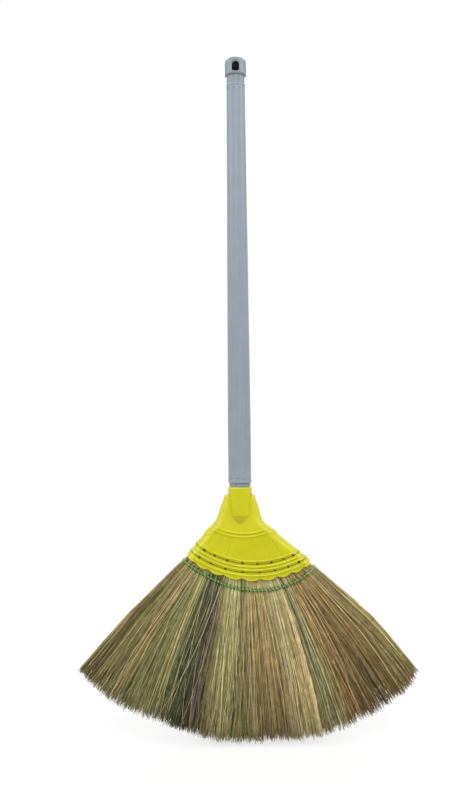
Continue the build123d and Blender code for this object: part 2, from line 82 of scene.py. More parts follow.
# All twine: the points that its route is first drawn with, its points in one turn of the twist, the sides of
# a ply, and how far the plies swell into each other
ROUTE_POINTS = 4000
POINTS_PER_TURN = 10
TWINE_SIDES = 6
PLY_SWELL = 1.12

# Stitch rows: one thin twine in each groove, dropping steeply into every hole. Its arc is drawn out to
# STITCH_SWEEP on both sides, and what lies past the shell's edges is left out.
STITCH_ARCS = {"upper_stitch": 117.6, "lower_stitch": 128.3}
STITCH_SWEEP = 65.0
STITCH_TWINE_RADIUS = 0.36
STITCH_PLIES = 2
STITCH_PITCH = 3.2
STITCH_DIP = 5.0
STITCH_DIP_REACH = 1.05
STITCH_DIP_STEEPNESS = 6

# Binding: a twine round the grass on a smooth curve near these places
BINDING_ANGLES = [-43.6, -33.2, -23.2, -13.2, -4.0, 7.8, 15.7, 23.0, 29.3, 37.0, 44.3]
BINDING_REACHES = [109.5, 108.4, 109.1, 111.1, 114.3, 118.4, 120.2, 122.3, 123.5, 125.3, 125.5]
BINDING_CURVE = np.polynomial.Polynomial.fit(BINDING_ANGLES, BINDING_REACHES, deg=4)
BINDING_RADIUS = 1.05
BINDING_PLIES = 3
BINDING_PITCH = 4.2
BINDING_DEPTH = 11.0

# A small loop holds the binding every few millimetres, on the flat front and back, where the binding has at
# least LOOP_FLAT_SHARE of its depth. Each leans along the binding and bends over it between two angles.
LOOP_SPACING = 4.7
LOOP_RADIUS = 0.55
LOOP_HALF_HEIGHT = 2.3
LOOP_RISE = 1.45
LOOP_FLAT_SHARE = 0.8
LOOP_LEAN = 0.35
LOOP_BEND = (-35, 215)
LOOP_POINTS = 13

# Grass: the tufts' edges where they leave the shell, and the fan's edges at the tips. The tied necks lie on
# an arc inside the shell, with NECK_GAP of a tuft's width free at each side, and the mouth is another arc.
ROOT_EDGES = [-42.3, *COLUMN_ANGLES, 42.0]
TIP_EDGES = (-43.8, 44.3)
NECK_EDGE_ANGLES = (-33.6, 19.9)
NECK_RADIUS = 97.0
NECK_GAP = 0.12
MOUTH_RADIUS = 129.0

# The grass's half depths in the necks, under the binding and at the tips. Under the binding its section is a
# rounded oblong, a superellipse of this power, cut off a little at its ends. At the tips it thins towards
# the fan's edges.
NECK_HALF_DEPTH = 7.0
BOUND_HALF_DEPTH = 10.2
OBLONG_POWER = 4
OBLONG_CUT = 0.97
TIP_HALF_DEPTH = 20.5
TIP_EDGE_DEPTH_SHARE = 0.45
TIP_THINNING_POWER = 4

# The outline that the tips follow
TIP_OUTLINE_ANGLES = [-44.0, -36.0, -27.0, -20.0, -8.0, 7.0, 16.0, 22.0, 34.0, 41.0, 44.5]
TIP_OUTLINE_REACH = [302.0, 305.5, 303.5, 299.0, 305.5, 307.0, 313.5, 316.5, 316.0, 317.5, 310.0]

# How the grass lies between mouth and tips: from its root angle it leans to its tip angle, and the
# edges bow out at once below the mouth and come back in at the tips
LEAN_ROOTS = [-42.3, -36.0, -21.2, -15.0, -5.0, 10.0, 21.6, 25.5, 31.0, 42.0]
LEANS = [-1.5, 0.0, 3.2, 1.4, 0.0, -1.5, -4.2, -2.2, 0.0, 3.5]
EDGE_BOWS = (1.6, 3.1)
BOW_SHARES = [0.0, 0.11, 0.55, 1.0]
BOW_HEIGHTS = [0.0, 0.95, 1.0, 0.0]

# Stalks: their points between binding and tip as shares of that way, and their radii at mouth, binding and
# those points. Each has a share of these radii between two limits, and a DEPTH_POWER below 1 puts more of
# them near the front and back than inside.
STALKS_PER_DEGREE = 95
STALK_SIDES = 3
STALK_STOPS = [0.1, 0.22, 0.36, 0.5, 0.64, 0.78, 0.9, 1.0]
STALK_RADII = [0.28, 0.35, 0.38, 0.42, 0.44, 0.44, 0.42, 0.4, 0.36, 0.2]
STALK_THICKNESS = (0.7, 1.3)
DEPTH_POWER = 0.85

# Locks that the stalks gather in: their mean width in degrees, the limits of their widths as shares of it,
# how far stalks cross into the next lock, also as a share, and how much thinner a lock is at its borders
LOCK_WIDTH = 1.1
LOCK_WIDTHS = (0.4, 1.6)
LOCK_BLUR = 0.25
LOCK_CROWN = 0.12

# How far the tips of single stalks and of locks splay, in degrees
STALK_SPLAY = 0.8
LOCK_SPLAY = 0.3

# Waves of single stalks and of locks, sideways in degrees and inwards in millimetres, each with the limits of
# its count of waves. They grow over the first share of the way, and the sideways ones are calmer at the
# fan's edges.
STALK_SWAY = 0.22
STALK_SWAY_WAVES = (1.0, 3.0)
LOCK_SWAY = 0.35
LOCK_SWAY_WAVES = (0.5, 1.5)
STALK_SINK = 3.0
STALK_SINK_WAVES = (0.5, 1.5)
LOCK_SINK = 1.2
LOCK_SINK_WAVES = (0.5, 1.2)
WAVE_START = 0.2
EDGE_CALM = 0.8
EDGE_CALM_POWER = 8

# How far stalks end short of the outline: each a little, each lock a little, and a share of them far more
STALK_SHORT = 3.2
LOCK_SHORT = 4.0
BROKEN_SHARE = 0.15
BROKEN_SHORT = (5.0, 45.0)

# Stray stalks: few, thin, splayed far, and lying on top of the rest
STRAY_SHARE = 0.012
STRAY_SPLAY = 4.0
STRAY_THICKNESS = 0.7
ON_TOP = 1.03

# The grass is brightest where it leaves the shell: its roots are paler, and there they get painted light
# against the shell's shadow
ROOT_LIGHT_SHARES = [0.0, 0.06, 0.25]
PALE_ROOTS_AND_PAINTED_LIGHT = [1.45, 1.2, 1.0]

# A thin pale streak that lies on top of the rest: its root angle, and how far it reaches to each side
PALE_STREAK = 21.6
PALE_STREAK_REACH = 0.18

# The grass's tones. The zones across the fan then give the root angle where each tone is at its purest,
# and the share of its lightness that is left at the tips.
EDGE_TAN = "#B2A16A"
SHADED_OLIVE = "#9A9362"
OLIVE = "#AAA26C"
STRAW_OLIVE = "#B3AB70"
MOSS = "#8A8A56"
DARK_GREEN = "#687250"
PURPLE_BROWN = "#766A62"
STRAW = "#CEC588"
TAN = "#D4BF82"
PALE = "#F2DCA6"
GREY_GREEN = "#B2AC7C"
ORANGE_BROWN = "#BA9E67"
RUSSET = "#BEA268"
BROWN = "#A49562"
GREY_TAN = "#B7A675"
GRASS_ZONES = [
    (-42.0, EDGE_TAN, 0.9),
    (-40.3, SHADED_OLIVE, 0.7),
    (-38.0, OLIVE, 0.85),
    (-30.0, OLIVE, 0.75),
    (-28.0, STRAW_OLIVE, 0.85),
    (-26.0, STRAW_OLIVE, 0.85),
    (-24.5, MOSS, 0.77),
    (-22.5, DARK_GREEN, 0.8),
    (-18.0, DARK_GREEN, 0.7),
    (-15.8, PURPLE_BROWN, 0.85),
    (-14.3, PURPLE_BROWN, 0.9),
    (-12.9, OLIVE, 0.6),
    (-10.4, STRAW, 0.62),
    (-3.0, STRAW, 0.66),
    (0.5, STRAW_OLIVE, 0.75),
    (4.0, TAN, 0.55),
    (7.5, TAN, 0.42),
    (12.0, TAN, 0.55),
    (16.0, PALE, 0.6),
    (18.3, TAN, 0.9),
    (21.8, TAN, 0.9),
    (22.4, BROWN, 0.85),
    (23.4, GREY_GREEN, 0.85),
    (25.0, GREY_GREEN, 0.95),
    (26.2, ORANGE_BROWN, 0.8),
    (29.0, ORANGE_BROWN, 0.64),
    (33.0, RUSSET, 0.4),
    (36.0, RUSSET, 0.55),
    (38.0, BROWN, 0.9),
    (40.5, GREY_TAN, 0.95),
]

# How the tones vary: the zones blur into each other by degrees, locks and stalks differ in lightness and in
# hue, and a few stalks are pale. A warmer lock has more red and less blue. None is lighter than LIGHTEST.
ZONE_BLUR = 0.35
STALK_LIGHTNESS = 0.38
LOCK_LIGHTNESS = 0.1
STALK_HUE = 0.06
LOCK_WARMTH = 0.04
WARMER = (1, 0, -1)
PALE_SHARE = 0.02
LIGHTEST = 0.9

# Camera, from the photograph's frame: 800 pixels tall at 1.25 mm a pixel, with the broom leaning
# a little to the left
CAMERA_PLACE = (-18.1, -1150.0, -413.43)
CAMERA_ROLL = 0.616
CAMERA_LENS = 41.4
CAMERA_SENSOR = 36.0

# The stage, in metres: the floor's reach to each side, the distances between which its paper runs into
# white, how white it is nearer than that, and the light that the white room gives
FLOOR_REACH = 12.0
PAPER_NEAR = 0.35
PAPER_FAR = 1.1
PAPER_WHITENESS = 0.72
ROOM_LIGHT = 0.27

# Softboxes stand round the broom, turned about it by these degrees from the front, in metres and watts
LAMP_TURNS = [-72, 0, 72, 180]
LAMP_DISTANCE = 3.0
LAMP_HEIGHT = 1.5
LAMP_TARGET = (0.0, 0.0, -0.45)
LAMP_SIZE = 2.4
LAMP_POWER = 65.0

# Sockets of a node that mixes colours: its factor, its two colours and its result
MIX_FACTOR = 0
MIX_FIRST = 6
MIX_SECOND = 7
MIX_RESULT = 2


def linear(hex_colour):
    """An sRGB hex colour as linear RGBA."""
    parts = [int(hex_colour[i : i + 2], 16) / 255 for i in (1, 3, 5)]
    return [p / 12.92 if p <= 0.04045 else ((p + 0.055) / 1.055) ** 2.4 for p in parts] + [1.0]


def add(tree, kind, inputs=None, **settings):
    """Adds a node, sets its properties, and feeds its inputs with values or with other nodes' outputs."""
    made = tree.nodes.new(kind)
    for name, value in settings.items():
        setattr(made, name, value)
    for name, value in (inputs or {}).items():
        if isinstance(value, bpy.types.NodeSocket):
            tree.links.new(value, made.inputs[name])
        else:
            made.inputs[name].default_value = value
    return made


def empty_material(name):
    """A material with a node tree that has no nodes yet."""
    material = bpy.data.materials.new(name)
    material.use_nodes = True
    material.node_tree.nodes.clear()
    return material, material.node_tree


def new_material(name, ior, specular):
    """A material with its main shader and its output."""
    material, tree = empty_material(name)
    shader = add(tree, "ShaderNodeBsdfPrincipled", {"IOR": ior, "Specular IOR Level": specular})
    add(tree, "ShaderNodeOutputMaterial", {"Surface": shader.outputs["BSDF"]})
    return material, tree, shader


def satin_handle_plastic(name, colour, dark_colour):
    """Polypropylene, extruded or moulded, and satin.
    The eye sees a soft broad sheen, faint streaks along the pull, and a fine orange peel."""
    material, tree, shader = new_material(name, ior=1.49, specular=0.28)
    where = add(tree, "ShaderNodeTexCoord").outputs["Object"]
    # Streaks 3 mm wide and 120 mm long
    stretch = (1 / (3 * MM), 1 / (3 * MM), 1 / (120 * MM))
    along = add(tree, "ShaderNodeMapping", {"Vector": where, "Scale": stretch})
    streaks = add(tree, "ShaderNodeTexNoise", {"Vector": along.outputs[0], "Scale": 1.0, "Detail": 3.0})
    # Clouds 15 mm across
    clouds = add(tree, "ShaderNodeTexNoise", {"Vector": where, "Scale": 1 / (15 * MM), "Detail": 2.0})
    mixed = add(tree, "ShaderNodeMath", {0: streaks.outputs[0], 1: clouds.outputs[0]}, operation="MULTIPLY")
    shade = add(tree, "ShaderNodeMapRange", {"Value": mixed.outputs[0], "From Min": 0.12, "From Max": 0.38})
    tint = add(
        tree,
        "ShaderNodeMix",
        {MIX_FACTOR: shade.outputs[0], MIX_FIRST: linear(dark_colour), MIX_SECOND: linear(colour)},
        data_type="RGBA",
    )
    tree.links.new(tint.outputs[MIX_RESULT], shader.inputs["Base Color"])
    gloss = add(
        tree,
        "ShaderNodeMapRange",
        {"Value": streaks.outputs[0], "From Min": 0.3, "From Max": 0.7, "To Min": 0.26, "To Max": 0.34},
    )
    tree.links.new(gloss.outputs[0], shader.inputs["Roughness"])
    # Orange peel: its grains of 0.8 mm would be too fine to show, so they are drawn 3 mm across
    peel = add(tree, "ShaderNodeTexNoise", {"Vector": where, "Scale": 1 / (3 * MM), "Detail": 1.0})
    bump = add(tree, "ShaderNodeBump", {"Height": peel.outputs[0], "Strength": 0.1, "Distance": 0.2 * MM})
    tree.links.new(bump.outputs[0], shader.inputs["Normal"])
    return material


def painted_neck_shade(tree, where):
    """A factor for painted shade on the shell's neck: 1 in its corners and on its slopes that face
    down, where the shell's colour is painted darker and more orange. It is 0 elsewhere."""
    # Corners are within 10 mm of another face of the shell
    free = add(tree, "ShaderNodeAmbientOcclusion", {"Distance": 10 * MM}, samples=8, only_local=True)
    corner_shade = add(
        tree,
        "ShaderNodeMapRange",
        {"Value": free.outputs["AO"], "From Min": 0.5, "From Max": 0.97, "To Min": 1.0, "To Max": 0.0},
    )
    facing = add(tree, "ShaderNodeNewGeometry").outputs["True Normal"]
    up = add(tree, "ShaderNodeSeparateXYZ", {"Vector": facing}).outputs["Z"]
    down = add(
        tree,
        "ShaderNodeMapRange",
        {"Value": up, "From Min": -0.5, "From Max": -0.12, "To Min": 1.0, "To Max": 0.0},
    )
    corner_or_slope_shade = add(tree, "ShaderNodeMath", {0: corner_shade.outputs[0], 1: down.outputs[0]}, operation="MAXIMUM")
    height = add(tree, "ShaderNodeSeparateXYZ", {"Vector": where}).outputs["Z"]
    foot = (NECK_FOOT - HANG_HEIGHT) * MM
    neck = add(
        tree,
        "ShaderNodeMapRange",
        {"Value": height, "From Min": foot, "From Max": foot + NECK_FADE * MM},
    )
    both = add(tree, "ShaderNodeMath", {0: corner_or_slope_shade.outputs[0], 1: neck.outputs[0]}, operation="MULTIPLY")
    return both.outputs[0]


def yellow_shell_plastic():
    """Polyethylene, injection moulded from a smooth tool.
    The eye sees a waxy even yellow with soft bright edges and slow flow clouds, and painted shade, darker and
    more orange, in the neck's corners and on its downward slopes."""
    material, tree, shader = new_material("polyethylene_moulded_yellow", ior=1.51, specular=0.28)
    # Light spreads about 2 mm inside the plastic, blue light less, so small shadows are soft
    shader.inputs["Subsurface Weight"].default_value = 0.8
    shader.inputs["Subsurface Radius"].default_value = (1.0, 1.0, 0.3)
    shader.inputs["Subsurface Scale"].default_value = 2 * MM
    where = add(tree, "ShaderNodeTexCoord").outputs["Object"]
    # Flow clouds 20 mm across
    clouds = add(tree, "ShaderNodeTexNoise", {"Vector": where, "Scale": 1 / (20 * MM), "Detail": 3.0})
    shade = add(tree, "ShaderNodeMapRange", {"Value": clouds.outputs[0], "From Min": 0.35, "From Max": 0.65})
    tint = add(
        tree,
        "ShaderNodeMix",
        {MIX_FACTOR: shade.outputs[0], MIX_FIRST: linear("#CCC80B"), MIX_SECOND: linear("#D2CF0E")},
        data_type="RGBA",
    )
    # Painted shade: the neck's corners and downward slopes are mixed towards a darker orange
    corners = painted_neck_shade(tree, where)
    painted_shade_tint = add(
        tree,
        "ShaderNodeMix",
        {MIX_FACTOR: corners, MIX_FIRST: tint.outputs[MIX_RESULT], MIX_SECOND: linear("#A88002")},
        data_type="RGBA",
    )
    tree.links.new(painted_shade_tint.outputs[MIX_RESULT], shader.inputs["Base Color"])
    # Tool grain: its marks of 0.5 mm would be too fine to show, so they are drawn 3 mm across
    grain = add(tree, "ShaderNodeTexNoise", {"Vector": where, "Scale": 1 / (3 * MM), "Detail": 2.0})
    gloss = add(
        tree,
        "ShaderNodeMapRange",
        {"Value": grain.outputs[0], "From Min": 0.3, "From Max": 0.7, "To Min": 0.2, "To Max": 0.28},
    )
    tree.links.new(gloss.outputs[0], shader.inputs["Roughness"])
    bump = add(tree, "ShaderNodeBump", {"Height": grain.outputs[0], "Strength": 0.06, "Distance": 0.2 * MM})
    tree.links.new(bump.outputs[0], shader.inputs["Normal"])
    return material


def grass_stalks():
    """Dried grass stalks, sun-cured and bare.
    The eye sees matt straw, each stalk with its own tone, and blotches along it where it cured unevenly."""
    material, tree, shader = new_material("dried_grass_stalks", ior=1.45, specular=0.3)
    shader.inputs["Roughness"].default_value = 0.6
    own = add(tree, "ShaderNodeAttribute", attribute_name="stalk_tone")
    where = add(tree, "ShaderNodeTexCoord").outputs["Object"]
    # Blotches 7 mm long
    blotch = add(tree, "ShaderNodeTexNoise", {"Vector": where, "Scale": 1 / (7 * MM), "Detail": 4.0})
    depth = add(
        tree,
        "ShaderNodeMapRange",
        {"Value": blotch.outputs[0], "From Min": 0.3, "From Max": 0.7, "To Min": 0.78, "To Max": 1.15},
    )
    tint = add(
        tree,
        "ShaderNodeVectorMath",
        {0: own.outputs["Color"], 1: depth.outputs[0]},
        operation="MULTIPLY",
    )
    tree.links.new(tint.outputs[0], shader.inputs["Base Color"])
    # Joints and creases: at 0.4 mm they would be too fine to show, so they are drawn 3 mm long
    creases = add(tree, "ShaderNodeTexNoise", {"Vector": where, "Scale": 1 / (3 * MM), "Detail": 1.0})
    bump = add(tree, "ShaderNodeBump", {"Height": creases.outputs[0], "Strength": 0.15, "Distance": 0.1 * MM})
    tree.links.new(bump.outputs[0], shader.inputs["Normal"])
    return material


def twine_fibre(name, colour, dark_colour):
    """Polypropylene split-film twine, twisted.
    The eye sees shiny flat fibres, lighter and darker by turns, with dark valleys between the plies."""
    material, tree, shader = new_material(name, ior=1.49, specular=0.25)
    shader.inputs["Roughness"].default_value = 0.5
    where = add(tree, "ShaderNodeTexCoord").outputs["Object"]
    # Fibre tone: its changes every 1.2 mm would be too fine to show, so they are drawn every 2.5 mm
    fibres = add(tree, "ShaderNodeTexNoise", {"Vector": where, "Scale": 1 / (2.5 * MM), "Detail": 2.0})
    shade = add(tree, "ShaderNodeMapRange", {"Value": fibres.outputs[0], "From Min": 0.3, "From Max": 0.7})
    tint = add(
        tree,
        "ShaderNodeMix",
        {MIX_FACTOR: shade.outputs[0], MIX_FIRST: linear(dark_colour), MIX_SECOND: linear(colour)},
        data_type="RGBA",
    )
    tree.links.new(tint.outputs[MIX_RESULT], shader.inputs["Base Color"])
    # Fibre ridges: at 0.25 mm they would be too fine to show, so they are drawn 1.5 mm apart
    ridges = add(tree, "ShaderNodeTexNoise", {"Vector": where, "Scale": 1 / (1.5 * MM), "Detail": 1.0})
    bump = add(tree, "ShaderNodeBump", {"Height": ridges.outputs[0], "Strength": 0.3, "Distance": 0.1 * MM})
    tree.links.new(bump.outputs[0], shader.inputs["Normal"])
    return material


def unit(vectors):
    """The same vectors, each one long."""
    return vectors / np.linalg.norm(vectors, axis=-1, keepdims=True)


def directions(lines, closed):
    """The way that each point of each line runs on."""
    if closed:
        return unit(np.roll(lines, -1, 1) - np.roll(lines, 1, 1))
    return unit(np.gradient(lines, axis=1))


def tubes(name, lines, radii, sides, reference, material, closed=False):
    """A piece of thin tubes, one along each line of (X, depth, height) points.
    The reference is a direction that no line runs along. Each tube is turned at random, and open
    tubes get flat ends."""
    count, sections, _ = lines.shape
    forward = directions(lines, closed)
    side = unit(np.cross(forward, np.broadcast_to(reference, forward.shape)))
    back = np.cross(forward, side)
    turn = rng.uniform(0, 2 * math.pi, count)[:, None] + np.arange(sides) * 2 * math.pi / sides
    turn = turn[:, None, :, None]
    wide = np.broadcast_to(radii, (count, sections))[:, :, None, None]
    corners = lines[:, :, None] + wide * (np.cos(turn) * side[:, :, None] + np.sin(turn) * back[:, :, None])
    corners = (corners.reshape(-1, 3) - (0, 0, HANG_HEIGHT)) * MM

    ring = np.arange(sides)
    following = np.roll(ring, -1)
    rows = np.arange(sections if closed else sections - 1)
    first = np.arange(count)[:, None, None] * sections * sides
    low = first + rows[:, None] * sides
    high = first + (rows[:, None] + 1) % sections * sides
    faces = np.stack([low + ring, low + following, high + following, high + ring], -1).reshape(-1, 4).tolist()
    if not closed:
        faces += (first[:, 0] + ring[::-1]).tolist()
        faces += (first[:, 0] + (sections - 1) * sides + ring).tolist()
    mesh = bpy.data.meshes.new(name)
    mesh.from_pydata(corners.tolist(), [], faces)
    mesh.shade_smooth()
    mesh.materials.append(material)
    piece = bpy.data.objects.new(name, mesh)
    bpy.context.scene.collection.objects.link(piece)
    return piece


def fan_point(angle, reach):
    """X and height at an angle from straight down and a reach from the fan's apex."""
    turn = np.radians(angle)
    return FAN_APEX[0] + reach * np.sin(turn), FAN_APEX[1] - reach * np.cos(turn)


def circle_reach(angle, centre, radius):
    """How far a ray from the fan's apex runs until it meets a circle."""
    east = FAN_APEX[0] - centre[0]
    north = FAN_APEX[1] - centre[1]
    half = east * np.sin(np.radians(angle)) - north * np.cos(np.radians(angle))
    return -half + np.sqrt(half * half - east * east - north * north + radius * radius)


def evenly_spaced(route, step):
    """A closed route's points again, at even steps along it."""
    ring = np.vstack([route, route[:1]])
    length = np.concatenate([[0], np.cumsum(np.linalg.norm(np.diff(ring, axis=0), axis=1))])
    marks = np.linspace(0, length[-1], round(length[-1] / step), endpoint=False)
    return np.stack([np.interp(marks, length, ring[:, axis]) for axis in range(3)], 1)


def outward(route, centre):
    """At each point of a route, the direction away from a centre that is given as (X, height)."""
    away = route - (centre[0], 0, centre[1])
    away[:, 1] = 0
    return unit(away)


def twisted_twine(name, route, centre, radius, plies, pitch, material):
    """Twine along a closed route round the head: its plies wind round each other once in each pitch."""
    route = evenly_spaced(route, pitch / POINTS_PER_TURN)
    forward = directions(route[None], True)[0]
    away = outward(route, centre)
    away = unit(away - forward * np.sum(away * forward, 1, keepdims=True))
    across = np.cross(forward, away)
    turns = round(len(route) / POINTS_PER_TURN)
    ply_radius = radius / (1 + 1 / math.sin(math.pi / plies))
    lines = []
    for ply in range(plies):
        wind = 2 * math.pi * (turns * np.arange(len(route)) / len(route) + ply / plies)
        offset = np.cos(wind)[:, None] * away + np.sin(wind)[:, None] * across
        lines.append(route + (radius - ply_radius) * offset)
    swollen = PLY_SWELL * ply_radius
    return tubes(name, np.stack(lines), swollen, TWINE_SIDES, away[None], material, closed=True)


def stitch_route(radius):
    """One row of stitches: along its groove on the front, down into each hole, round the side
    and back behind."""
    angle = np.radians(np.linspace(-STITCH_SWEEP, STITCH_SWEEP, ROUTE_POINTS))
    x = BAND_CENTRE[0] + radius * np.sin(angle)
    height = BAND_CENTRE[1] - radius * np.cos(angle)
    drop = FLARE_TOP - height
    inside_left = x - LEFT_EDGE - drop * LEFT_FLARE + STITCH_TWINE_RADIUS
    inside_right = RIGHT_EDGE + drop * RIGHT_FLARE - x + STITCH_TWINE_RADIUS
    inside = np.minimum(inside_left, inside_right)
    full = SHELL_HALF_DEPTH + STITCH_TWINE_RADIUS
    depth = np.sqrt(np.maximum(0, full**2 - np.maximum(0, full - inside) ** 2))
    for column in COLUMN_ANGLES:
        hole_x, hole_height = fan_point(column, circle_reach(column, BAND_CENTRE, radius))
        away = np.hypot(x - hole_x, height - hole_height)
        depth = depth - STITCH_DIP * np.exp(-((away / STITCH_DIP_REACH) ** STITCH_DIP_STEEPNESS))
    front = np.stack([x, -depth, height], 1)[inside > 0]
    back = front[::-1] * (1, -1, 1)
    return np.vstack([front, back])


def bound_share(out):
    """The share of its half depth that the bound grass has at a place across it, from -1 at its left
    edge to 1 at its right."""
    return (1 - OBLONG_CUT * np.abs(out) ** OBLONG_POWER) ** (1 / OBLONG_POWER)


def binding_route():
    """The binding: along the front of the grass on its curve, round the edge tuft, along the back
    and round again."""
    turn = np.linspace(0, 2 * math.pi, ROUTE_POINTS, endpoint=False)
    out = np.sign(np.cos(turn)) * np.abs(np.cos(turn)) ** (2 / OBLONG_POWER)
    deep = np.sign(np.sin(turn)) * np.abs(np.sin(turn)) ** (2 / OBLONG_POWER)
    left, right = BINDING_ANGLES[0], BINDING_ANGLES[-1]
    angle = (left + right) / 2 + out * (right - left) / 2
    x, height = fan_point(angle, BINDING_CURVE(angle))
    return np.stack([x, deep * BINDING_DEPTH, height], 1)


def binding_loops(material):
    """Small loops of the sewing twine over the binding, front and back, with their ends down in the grass."""
    route = evenly_spaced(binding_route(), LOOP_SPACING)
    forward = directions(route[None], True)[0]
    flat = np.abs(route[:, 1]) > LOOP_FLAT_SHARE * BINDING_DEPTH
    route, forward = route[flat], forward[flat]
    away = outward(route, FAN_APEX)
    over = np.cross(away, forward)
    over *= np.sign(over[:, 1:2] * route[:, 1:2])
    along = LOOP_HALF_HEIGHT * (away + LOOP_LEAN * forward)
    bend = np.radians(np.linspace(*LOOP_BEND, LOOP_POINTS))
    lines = np.stack([route + math.cos(b) * along + LOOP_RISE * math.sin(b) * over for b in bend], 1)
    return tubes("binding_loops_twine", lines, LOOP_RADIUS, TWINE_SIDES, forward[:, None], material)


def zone_tones(angles):
    """The grass's linear colour at each root angle, and the share of it that is left at the tips."""
    centres = [zone[0] for zone in GRASS_ZONES]
    colours = np.array([linear(zone[1])[:3] for zone in GRASS_ZONES])
    tones = np.stack([np.interp(angles, centres, colours[:, channel]) for channel in range(3)], 1)
    return tones, np.interp(angles, centres, [zone[2] for zone in GRASS_ZONES])


def wander(share, size, waves):
    """A gentle wave along each stalk, or each lock's stalks, from nothing at the root.
    It takes the wave's size and the count of waves."""
    phase = rng.uniform(0, 2 * math.pi, len(size))
    return (size * np.sin(phase + 2 * math.pi * waves * share.T)).T * np.minimum(1, share / WAVE_START)


def gather_locks(across, locks):
    """Gathers stalks in locks of uneven width. It gives each stalk's lock, and its place in that lock from
    -1 at one border to 1 at the other."""
    borders = np.cumsum(rng.uniform(*LOCK_WIDTHS, locks))
    borders /= borders[-1]
    starts = np.concatenate([[0], borders[:-1]])
    lock = np.searchsorted(borders, np.clip(across + rng.normal(0, LOCK_BLUR / locks, len(across)), 0, 1))
    return lock, np.clip(2 * (across - starts[lock]) / (borders - starts)[lock] - 1, -1, 1)


def stalk_lines(index, across, root_angle, tip_angle, lock, through, short):
    """Points of a tuft's stalks: tied neck, mouth of the shell, binding, and on to the tips. With them come
    their shares of the way from mouth to tip."""
    count = len(across)
    locks = lock.max() + 1
    neck_step = (NECK_EDGE_ANGLES[1] - NECK_EDGE_ANGLES[0]) / TUFTS
    place = index + NECK_GAP + (1 - 2 * NECK_GAP) * across
    neck_angle = np.radians(NECK_EDGE_ANGLES[0] + place * neck_step)
    neck_x = BAND_CENTRE[0] + NECK_RADIUS * np.sin(neck_angle)
    neck_height = BAND_CENTRE[1] - NECK_RADIUS * np.cos(neck_angle)
    neck = np.stack([neck_x, through * NECK_HALF_DEPTH, neck_height], 1)

    mouth = circle_reach(root_angle, BAND_CENTRE, MOUTH_RADIUS)
    bound = BINDING_CURVE(root_angle)
    tip = np.interp(tip_angle, TIP_OUTLINE_ANGLES, TIP_OUTLINE_REACH) - short
    reach = np.stack([mouth, bound] + [bound + stop * (tip - bound) for stop in STALK_STOPS], 1)
    share = (reach - mouth[:, None]) / (tip - mouth)[:, None]

    out = np.clip((2 * tip_angle - TIP_EDGES[0] - TIP_EDGES[1]) / (TIP_EDGES[1] - TIP_EDGES[0]), -1, 1)
    bow = np.where(out < 0, *EDGE_BOWS) * out * np.abs(out)
    angle = root_angle[:, None] + share * (tip_angle - root_angle)[:, None]
    angle += bow[:, None] * np.interp(share, BOW_SHARES, BOW_HEIGHTS)
    calm = 1 - EDGE_CALM * np.abs(out) ** EDGE_CALM_POWER
    sway = rng.normal(0, STALK_SWAY, count)
    angle += wander(share, calm * sway, rng.uniform(*STALK_SWAY_WAVES, count))
    lock_sway = rng.normal(0, LOCK_SWAY, locks)[lock]
    angle += wander(share, calm * lock_sway, rng.uniform(*LOCK_SWAY_WAVES, locks)[lock])

    tip_depth = TIP_HALF_DEPTH * np.sqrt(1 - (1 - TIP_EDGE_DEPTH_SHARE**2) * out**TIP_THINNING_POWER)
    bound_depth = BOUND_HALF_DEPTH * bound_share(out)
    depth = bound_depth[:, None] + np.maximum(0, share - share[:, 1:2]) * (tip_depth - bound_depth)[:, None]
    sink = rng.uniform(0, STALK_SINK, count)
    depth -= np.abs(wander(share, sink, rng.uniform(*STALK_SINK_WAVES, count)))
    lock_sink = rng.uniform(0, LOCK_SINK, locks)[lock]
    depth -= np.abs(wander(share, lock_sink, rng.uniform(*LOCK_SINK_WAVES, locks)[lock]))
    x, height = fan_point(angle, reach)
    return np.concatenate([neck[:, None], np.stack([x, through[:, None] * depth, height], 2)], 1), share


def stalk_tones(root_angle, lock, on_top, share):
    """The linear colour of each stalk at each of its points. Stalks that lie on top are pale."""
    count = len(root_angle)
    locks = lock.max() + 1
    tones, tip_share = zone_tones(root_angle + rng.normal(0, ZONE_BLUR, count))
    lightness = rng.normal(0, LOCK_LIGHTNESS, locks)[lock] + rng.normal(0, STALK_LIGHTNESS, count)
    tones *= np.exp(lightness)[:, None]
    warmth = rng.normal(0, LOCK_WARMTH, locks)[lock, None] * WARMER
    tones *= np.exp(warmth + rng.normal(0, STALK_HUE, (count, 3)))
    tones[on_top | (rng.random(count) < PALE_SHARE)] = linear(PALE)[:3]
    # Roots are lightened: partly paler stalks, partly painted light against the shell's shadow
    fade = (1 - (1 - tip_share)[:, None] * share) * np.interp(share, ROOT_LIGHT_SHARES, PALE_ROOTS_AND_PAINTED_LIGHT)
    fade = np.concatenate([fade[:, :1], fade], 1)
    return np.minimum(tones[:, None] * fade[:, :, None], LIGHTEST)


